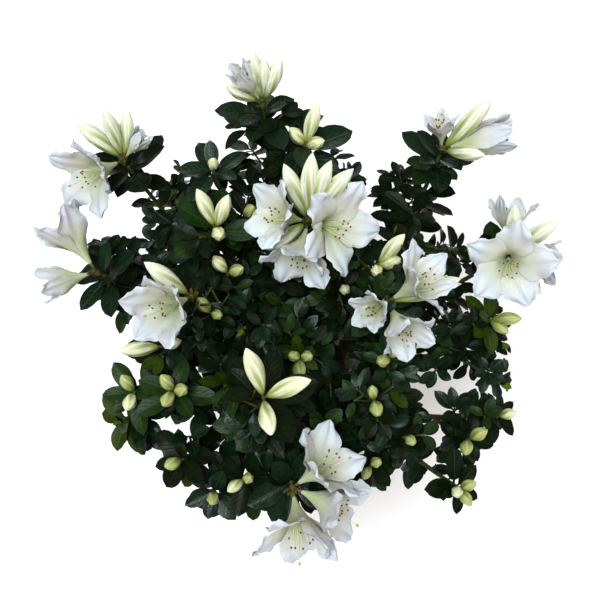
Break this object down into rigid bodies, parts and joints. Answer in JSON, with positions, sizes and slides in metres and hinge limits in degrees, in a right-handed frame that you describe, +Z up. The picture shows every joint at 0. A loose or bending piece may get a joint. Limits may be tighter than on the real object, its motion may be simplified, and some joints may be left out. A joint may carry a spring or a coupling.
{
  "type": "potted azalea",
  "caption": "Small bushy evergreen azalea shrub in white flower and bud, with dark glossy leaves, standing in a plain tapered clay pot.",
  "frame": {"origin": "middle of the pot's flat underside, on the surface that it stands on", "axes": "+Z up along the pot's axis, -Y towards the side seen in the picture, +X to the picture's right"},
  "size_m": [0.3988, 0.3904, 0.4217],
  "materials": {
    "clay": "matte unglazed terracotta",
    "compost": "damp crumbly",
    "bark": "rough",
    "leaves": "satin, dark green",
    "petals": "soft, white"
  },
  "bodies": {
    "root": {"pot": "clay", "compost": "compost", "trunk": "bark", "bough_back": "bark", "bough_left_back": "bark", "bough_left_front": "bark", "bough_front": "bark", "bough_front_right": "bark", "bough_right": "bark", "bough_top": "bark", "bough_back_left": "bark", "bough_back_low": "bark", "bough_left": "bark", "bough_left_upper": "bark", "bough_left_back_low": "bark", "bough_left_low": "bark", "bough_left_inner": "bark", "bough_front_left": "bark", "bough_front_upper": "bark", "bough_front_right_inner": "bark", "bough_right_front_inner": "bark", "bough_right_front": "bark", "bough_right_low": "bark", "bough_right_back": "bark", "bough_right_back_low": "bark", "bough_right_inner": "bark", "bloom_back": "petals", "bloom_left_back": "petals", "bloom_front": "petals", "bloom_right": "petals", "bloom_top": "petals", "bloom_left": "petals", "bloom_left_inner": "petals", "bloom_right_back": "petals", "bloom_right_inner": "petals", "foliage_back": "leaves", "foliage_left_back": "leaves", "foliage_left_front": "leaves", "foliage_front": "leaves", "foliage_front_right": "leaves", "foliage_right": "leaves", "foliage_top": "leaves", "foliage_back_left": "leaves", "foliage_back_low": "leaves", "foliage_left": "leaves", "foliage_left_upper": "leaves", "foliage_left_back_low": "leaves", "foliage_left_low": "leaves", "foliage_left_inner": "leaves", "foliage_front_left": "leaves", "foliage_front_upper": "leaves", "foliage_front_right_inner": "leaves", "foliage_right_front_inner": "leaves", "foliage_right_front": "leaves", "foliage_right_low": "leaves", "foliage_right_back": "leaves", "foliage_right_back_low": "leaves", "foliage_right_inner": "leaves"}
  },
  "joints": []
}
